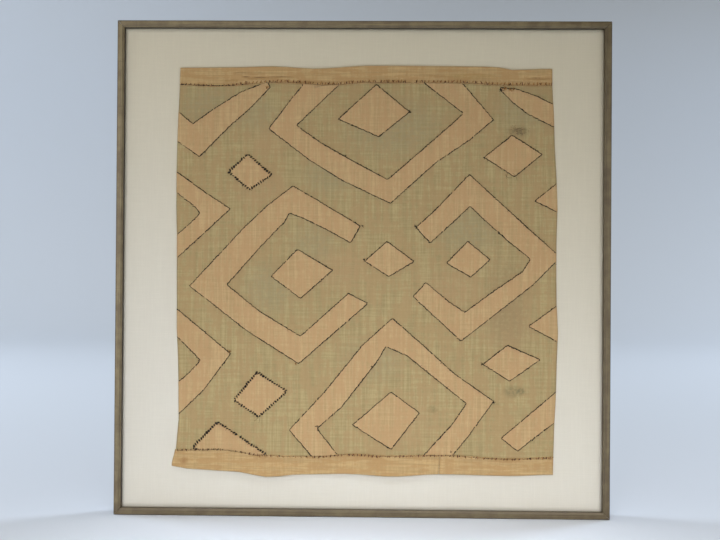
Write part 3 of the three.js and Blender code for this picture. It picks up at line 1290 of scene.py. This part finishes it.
@dataclass(frozen=True)
class Darning:
    """A worn spot that fine threads cross both ways: its middle and half sizes in millimetres."""

    right: float = 290.0
    up: float = 259.0
    wide: float = 24.0
    tall: float = 12.0
    count: int = 46
    thick: float = 0.00032


Spot = tuple[float, float]


@dataclass(frozen=True)
class Knot:
    """A knot with loose fibres: its place from the middle and its size, in millimetres."""

    right: float
    up: float
    size: float
    fibres: int


KNOTS = (
    Knot(258, 336, 4.5, 16),
    Knot(-204, 341, 3.5, 6),
    Knot(87, 294, 4, 9),
    Knot(-33, 212, 3, 6),
    Knot(227, 209, 3, 6),
    Knot(99, 80, 4, 9),
    Knot(0, 80, 3, 6),
    Knot(225, -177, 4, 9),
    Knot(3, 17, 4, 9),
    Knot(19, -183, 3, 6),
    Knot(-83, -295, 3.5, 8),
    Knot(247, -248, 4, 9),
    Knot(168, -341, 3, 6),
)
TUFTS = (
    Knot(-182, 339, 6, 12),
    Knot(266, 339, 6, 14),
    Knot(274, 337, 6, 10),
    Knot(282, 339, 4, 6),
    Knot(-248, -157, 5, 10),
    Knot(-124, -179, 4, 6),
    Knot(-156, -156, 3, 5),
)
THREAD_ENDS = (
    ((-196, -277), (-192, -290)),
    ((-194, -278), (-201, -287)),
    ((266, 178), (278, 172)),
    ((280, 180), (288, 168)),
    ((273, 182), (269, 170)),
)


@dataclass
class Sewing:
    """All the thread on the cloth: overcasting, seam stitches, knots, tufts and loose ends."""

    relief: ClothRelief
    outlines: dict[str, Outline]
    panel: Outline
    seed: int = 11
    seam_spacing: float = 0.003
    seam_thick: float = 0.0007
    # How far over the ground's face each kind lies, in metres
    over_fibre: float = 0.0012
    over_stitch: float = 0.0011
    over_knot: float = 0.0016
    over_seam: float = 0.0022
    over_tick: float = 0.0026
    # No stitch stands closer than this to the panel's own edge
    bare_edge: float = 0.0016
    fine: float = 0.0005
    draw: random.Random = field(init=False, repr=False)
    edge: KDTree = field(init=False, repr=False)
    spindles: dict[int, bmesh.types.BMesh] = field(default_factory=dict, repr=False)
    scrap: bpy.types.Mesh = field(init=False, repr=False)

    def __post_init__(self) -> None:
        """Start the seeded draw and note where the panel's own edge is."""
        self.draw = random.Random(self.seed)
        self.scrap = bpy.data.meshes.new("one_stitch")
        self.edge = tree_of(place for place, _ in stations(self.panel, MM, True))

    def side(self, way: int) -> Outline:
        """Take one long edge of the panel.

        Args:
            way: 1 for the upper edge, -1 for the lower one.

        Returns:
            Its places from left to right.
        """
        corners = [
            max(range(len(self.panel)), key=lambda i: self.panel[i].x * across + self.panel[i].z * way)
            for across in (-1, 1)
        ]
        first, last = corners if way < 0 else corners[::-1]
        count = (last - first) % len(self.panel)
        points = [self.panel[(first + i) % len(self.panel)] for i in range(count + 1)]
        return points if way < 0 else points[::-1]

    def front(self, x: float, z: float, over: float) -> Vector:
        """Find a place over the ground's face.

        Args:
            x: The place from side to side, in metres.
            z: The place's height.
            over: How far over the face it is.

        Returns:
            The place.
        """
        return Vector((x, -GROUND_FRONT - over - self.relief.forward(x, z), z))

    def bead(
        self, bm: bmesh.types.BMesh, place: Vector, along: Vector, length: float, thick: float, sides: int = 6
    ) -> None:
        """Add one stitch, a small spindle that lies along a direction.

        Args:
            bm: The mesh that grows.
            place: Its middle.
            along: The way it lies.
            length: From tip to tip, in metres.
            thick: Across its middle, in metres.
            sides: How many sides it has.
        """
        turn = along.to_track_quat("Z", "Y").to_matrix().to_4x4()
        size = Matrix.Diagonal((thick / 2, thick / 2, length / 2, 1.0))
        if sides not in self.spindles:
            self.spindles[sides] = bmesh.new()
            bmesh.ops.create_uvsphere(self.spindles[sides], u_segments=sides, v_segments=5, radius=1.0)
        spindle = self.spindles[sides].copy()
        spindle.transform(Matrix.Translation(place) @ turn @ size)
        spindle.to_mesh(self.scrap)
        spindle.free()
        bm.from_mesh(self.scrap)

    def strand(self, bm: bmesh.types.BMesh, points: list[Vector], thick: float) -> None:
        """Add a loose thread, as spindles that overlap end to end.

        Args:
            bm: The mesh that grows.
            points: The places that the thread passes.
            thick: Across the thread, in metres.
        """
        for start, end in zip(points, points[1:]):
            run = end - start
            self.bead(bm, (start + end) / 2, run.normalized(), run.length * 1.35, thick, 5)

    def overcast(self, node: str, hand: Overcast) -> bmesh.types.BMesh:
        """Make the stitches that hold one patch's edge down.

        Args:
            node: The patch's CAD node.
            hand: The way it is sewn.

        Returns:
            Their mesh.
        """
        bm = bmesh.new()
        d = self.draw
        for index, (place, along) in enumerate(stations(self.outlines[node], hand.spacing, True)):
            lean = math.radians(hand.slant + d.gauss(0, hand.wander))
            size = d.uniform(0.75, 1.25)
            place_in_noise = Vector((index * hand.spacing / 0.05, d.random() * 0.3, 5.0))
            pull = 1.0 + 0.45 * noise.noise(place_in_noise)
            thick = hand.thick * pull * d.choice((0.75, 0.85, 0.95, 1.0, 1.05, 1.45))
            shift = d.gauss(0, 0.0003)
            skipped = d.random() < hand.skipped
            fuzz = d.random() < hand.fuzz
            if skipped or self.edge.find((place.x, 0.0, place.z))[2] < self.bare_edge:
                continue
            inward = Vector((-along.z, 0.0, along.x))
            across = along * math.cos(lean) + inward * math.sin(lean)
            middle = place + inward * (hand.inset + shift)
            spot = self.front(middle.x, middle.z, self.over_stitch)
            self.bead(bm, spot, across, hand.length * size, thick)
            if fuzz:
                self.fibre(bm, spot, inward, 0.005)
        return bm

    def fibre(self, bm: bmesh.types.BMesh, place: Vector, along: Vector, length: float) -> None:
        """Add a stiff stray fibre.

        Args:
            bm: The mesh that grows.
            place: Where it starts.
            along: The way it roughly lies.
            length: From tip to tip, in metres.
        """
        d = self.draw
        side = Vector((d.gauss(0, 0.6), d.uniform(-0.5, 0.0), d.gauss(0, 0.6)))
        way = (along * d.choice((-1, 1)) + side).normalized()
        reach = length * d.uniform(0.5, 1.2)
        self.bead(bm, place + way * reach * 0.5, way, reach, self.fine, 5)

    def thread_run(self, line: Outline) -> bmesh.types.BMesh:
        """Make the thread that runs along a seam, a row of beads that touch.

        Args:
            line: The seam's places.

        Returns:
            The thread's mesh.
        """
        bm = bmesh.new()
        d = self.draw
        for place, along in stations(line, self.seam_spacing, False):
            lean = Vector((0.0, 0.0, d.gauss(0.08, 0.14)))
            spot = self.front(place.x, place.z + d.gauss(0, 0.00035), self.over_seam)
            size = self.seam_spacing * d.uniform(1.0, 1.6)
            thick = self.seam_thick * d.uniform(0.6, 1.3)
            self.bead(bm, spot, (along + lean).normalized(), size, thick)
        return bm

    def ticks(self, bm: bmesh.types.BMesh, line: Outline, run: TickRun) -> None:
        """Add a run of small whip stitches that stand across a seam.

        Args:
            bm: The mesh that grows.
            line: The seam's places.
            run: The run's place and sizes.
        """
        d = self.draw
        start, end = from_centre(run.start, 0).x, from_centre(run.end, 0).x
        for place, _ in stations(line, run.spacing * MM, False):
            shift, lean = d.gauss(0, 0.0006), d.gauss(run.lean, 0.25)
            size, kept = d.uniform(0.6, 1.3), d.random() < 0.85
            if not start < place.x < end or not kept:
                continue
            way = Vector((lean, 0.0, 1.0)).normalized()
            spot = self.front(place.x + shift, place.z + run.rise * MM, self.over_tick)
            self.bead(bm, spot, way, run.length * MM * size, run.thick * MM * d.uniform(0.7, 1.2))

    def tuft(self, bm: bmesh.types.BMesh, knot: Knot) -> None:
        """Add a knot with short fibres that stick out all round.

        Args:
            bm: The mesh that grows.
            knot: Its place and size.
        """
        d = self.draw
        spot = from_centre(knot.right, knot.up)
        size = knot.size * MM
        for _ in range(3):
            way = Vector((d.gauss(0, 1), 0.0, d.gauss(0, 1))).normalized()
            middle = self.front(spot.x, spot.z, self.over_knot)
            self.bead(bm, middle, way, size * 0.8, size * 0.35)
        for _ in range(knot.fibres):
            way = Vector((d.gauss(0, 1), -abs(d.gauss(0, 0.5)), d.gauss(0, 1))).normalized()
            x, z = spot.x + d.gauss(0, size) * 0.3, spot.z + d.gauss(0, size) * 0.3
            place = self.front(x, z, self.over_fibre)
            reach = size * d.uniform(0.5, 1.1)
            self.bead(bm, place + way * reach * 0.35, way, reach, 0.0007 * d.uniform(0.7, 1.3), 5)

    def darn(self, bm: bmesh.types.BMesh, spot: Darning) -> None:
        """Add the fine threads of a darned spot.

        Args:
            bm: The mesh that grows.
            spot: Its place and sizes.
        """
        d = self.draw
        for _ in range(spot.count):
            right = spot.right + d.gauss(0, spot.wide) * 0.4
            middle = from_centre(right, spot.up + d.gauss(0, spot.tall) * 0.4)
            way = Vector((d.gauss(0, 1), 0.0, d.gauss(0, 0.7))).normalized()
            reach = d.uniform(0.003, 0.009)
            place = self.front(middle.x, middle.z, self.over_fibre)
            self.bead(bm, place, way, reach, spot.thick, 5)

    def thread_end(self, bm: bmesh.types.BMesh, start: Spot, end: Spot, steps: int = 7) -> None:
        """Add a thread end that lies on the cloth in a lazy bend.

        Args:
            bm: The mesh that grows.
            start: Its one end, in millimetres from the middle.
            end: Its other end.
            steps: How many straight pieces it is made of.
        """
        d = self.draw
        a, b = from_centre(*start), from_centre(*end)
        side = Vector((-(b - a).z, 0.0, (b - a).x)) * d.uniform(-0.3, 0.3)
        points = []
        for i in range(steps + 1):
            share = i / steps
            place = a.lerp(b, share) + side * math.sin(math.pi * share)
            points.append(self.front(place.x, place.z, self.over_knot))
        self.strand(bm, points, self.fine)

    def build(self) -> None:
        """Make every stitch, knot and thread end."""
        dark = RaffiaThread("black_dyed_raffia_thread", "#352a1f", "#15100c").build()
        tan = RaffiaThread("undyed_raffia_thread", "#b5834a", "#75502a").build()
        red = RaffiaThread("camwood_red_raffia_thread", "#7d4d33", "#4a2b1c").build()
        russet = RaffiaThread("brown_dyed_raffia_thread", "#85663f", "#533c26").build()
        for patch in PATCHES:
            name = patch.node.replace("patch_", "overcast_")
            add_piece(name, self.overcast(patch.node, patch.hand.value), dark)
        seams = {"top": self.side(1), "foot": self.side(-1)}
        threads = {Thread.DARK: dark, Thread.TAN: tan, Thread.RED: red}
        for seam, line in seams.items():
            add_piece(f"seam_thread_{seam}", self.thread_run(line), russet)
        for thread, finish in threads.items():
            bm = bmesh.new()
            for run in TICK_RUNS:
                if run.thread is thread:
                    self.ticks(bm, seams[run.seam], run)
            add_piece(f"whip_stitches_{thread.value}", bm, finish)
        knots = bmesh.new()
        for knot in KNOTS:
            self.tuft(knots, knot)
        for start, end in THREAD_ENDS:
            self.thread_end(knots, start, end)
        add_piece("knots_and_ends", knots, dark)
        tufts = bmesh.new()
        for knot in TUFTS:
            self.tuft(tufts, knot)
        add_piece("tan_tufts", tufts, tan)
        darning = bmesh.new()
        self.darn(darning, Darning())
        add_piece("darning_threads", darning, russet)
        bpy.data.meshes.remove(self.scrap)


@dataclass(frozen=True)
class Lamp:
    """A square soft lamp: where it is, what it looks at, its size, power, tint and beam in degrees."""

    name: str
    place: tuple[float, float, float]
    aim: tuple[float, float, float]
    size: float
    power: float
    tint: str
    spread: float


LAMPS = (
    Lamp("front_left", (-0.956, -3.0, 0.783), (-1.528, 0.0, -1.403), 1.8, 27.4, "#f6f7ff", 109.6),
    Lamp("front_right", (1.5, -3.0, 0.921), (0.924, 0.0, -1.729), 1.8, 20.6, "#f6f7ff", 62.4),
    Lamp("over_the_front", (0.0, -1.1, 2.4), (0.0, -0.55, 0.0), 0.5, 2.8, "#eaf2ff", 32.0),
    Lamp("behind_left", (-4.0, 1.2, 5.0), (-5.0, 2.5, 0.94), 2.0, 311.0, "#deecff", 175.0),
    Lamp("behind_right", (4.97, 2.98, 5.0), (5.0, 2.66, 4.0), 2.0, 350.0, "#deecff", 171.0),
)


@dataclass
class Studio:
    """A pale floor that sweeps up far behind, with soft lamps in front, above and behind.

    The sweep is matt cool-white paint, so it stays even and its colour is the lamps'.
    """

    wide: float = 14.0
    near: float = 8.0
    far: float = 7.0
    rise: float = 5.0
    bend: float = 2.4
    bend_steps: int = 36
    paint: str = "#d0d5dc"
    sky: str = "#f2e6c6"
    sky_strength: float = 0.35

    def sweep(self) -> None:
        """Make the floor and backdrop as one bent sheet."""
        piece = self.bend * math.pi / 2 / self.bend_steps
        line = [Vector((0.0, -self.near, 0.0)), Vector((0.0, self.far - self.bend, 0.0))]
        for i in range(self.bend_steps):
            turn = smooth((i + 0.5) / self.bend_steps) * math.pi / 2
            line.append(line[-1] + Vector((0.0, math.cos(turn), math.sin(turn))) * piece)
        line.append(line[-1] + Vector((0.0, 0.0, self.rise)))
        bm = bmesh.new()
        rows = [[bm.verts.new((side, p.y, p.z)) for p in line] for side in (-self.wide, self.wide)]
        for a, b, c, d in zip(rows[0], rows[1], rows[1][1:], rows[0][1:]):
            bm.faces.new((a, b, c, d))
        mesh = bpy.data.meshes.new("sweep")
        for face in bm.faces:
            face.smooth = True
        bm.to_mesh(mesh)
        bm.free()
        s = Shading("pale_painted_sweep")
        mesh.materials.append(s.finish(self.paint, 0.8, Specular_IOR_Level=0.1))
        floor = bpy.data.objects.new("sweep", mesh)
        bpy.context.scene.collection.objects.link(floor)

    @staticmethod
    def light(lamp: Lamp) -> None:
        """Add one soft lamp, which the camera doesn't see.

        Args:
            lamp: Its place, size and light.
        """
        data = bpy.data.lights.new(lamp.name, "AREA")
        data.size = lamp.size
        data.energy = lamp.power
        data.color = linear(lamp.tint)[:3]
        data.spread = math.radians(lamp.spread)
        holder = bpy.data.objects.new(lamp.name, data)
        holder.visible_camera = False
        holder.location = lamp.place
        way = Vector(lamp.aim) - Vector(lamp.place)
        holder.rotation_euler = way.to_track_quat("-Z", "Y").to_euler()
        bpy.context.scene.collection.objects.link(holder)

    def build(self) -> None:
        """Make the sweep, the sky light and the lamps."""
        self.sweep()
        world = bpy.data.worlds.new("soft_room")
        world.use_nodes = True
        background = world.node_tree.nodes["Background"]
        background.inputs["Color"].default_value = linear(self.sky)
        background.inputs["Strength"].default_value = self.sky_strength
        bpy.context.scene.world = world
        for lamp in LAMPS:
            self.light(lamp)
        bpy.context.scene.view_settings.view_transform = "Standard"


@dataclass
class PhotoCamera:
    """The photograph's camera: its place in metres, its turns in degrees, its lens in millimetres.

    They fit the frame's four outer corners in the picture.
    """

    place: tuple[float, float, float] = (0.0277, -1.8866, 0.447)
    yaw: float = 0.981
    pitch: float = 0.412
    roll: float = -0.395
    lens: float = 50.0
    sensor: float = 36.0
    farthest: float = 100.0

    def build(self) -> None:
        """Add the camera and make it the scene's own."""
        camera = bpy.data.cameras.new("photo_camera")
        camera.lens = self.lens
        camera.sensor_width = self.sensor
        camera.clip_end = self.farthest
        holder = bpy.data.objects.new("photo_camera", camera)
        turns = (
            Matrix.Rotation(math.radians(self.yaw), 4, "Z")
            @ Matrix.Rotation(math.radians(self.pitch), 4, "X")
            @ Matrix.Rotation(math.radians(self.roll), 4, "Y")
            @ Matrix.Rotation(math.radians(90), 4, "X")
        )
        holder.matrix_world = Matrix.Translation(self.place) @ turns
        bpy.context.scene.collection.objects.link(holder)
        bpy.context.scene.camera = holder


def main() -> None:
    """Build the framed cloth, its light and its camera."""
    logging.basicConfig(level=logging.INFO, format="%(message)s")
    PhotoCamera().build()
    Studio().build()
    Frame().build()
    Backing().build()
    relief = ClothRelief()
    patches = PatchWork(relief)
    patches.trace()
    relief.learn_edges(patches.outlines.values())
    cloth = RaffiaCloth(relief)
    cloth.build()
    patches.build()
    Sewing(relief, patches.outlines, cloth.outline("raffia_panel")).build()


if __name__ == "__main__":
    main()
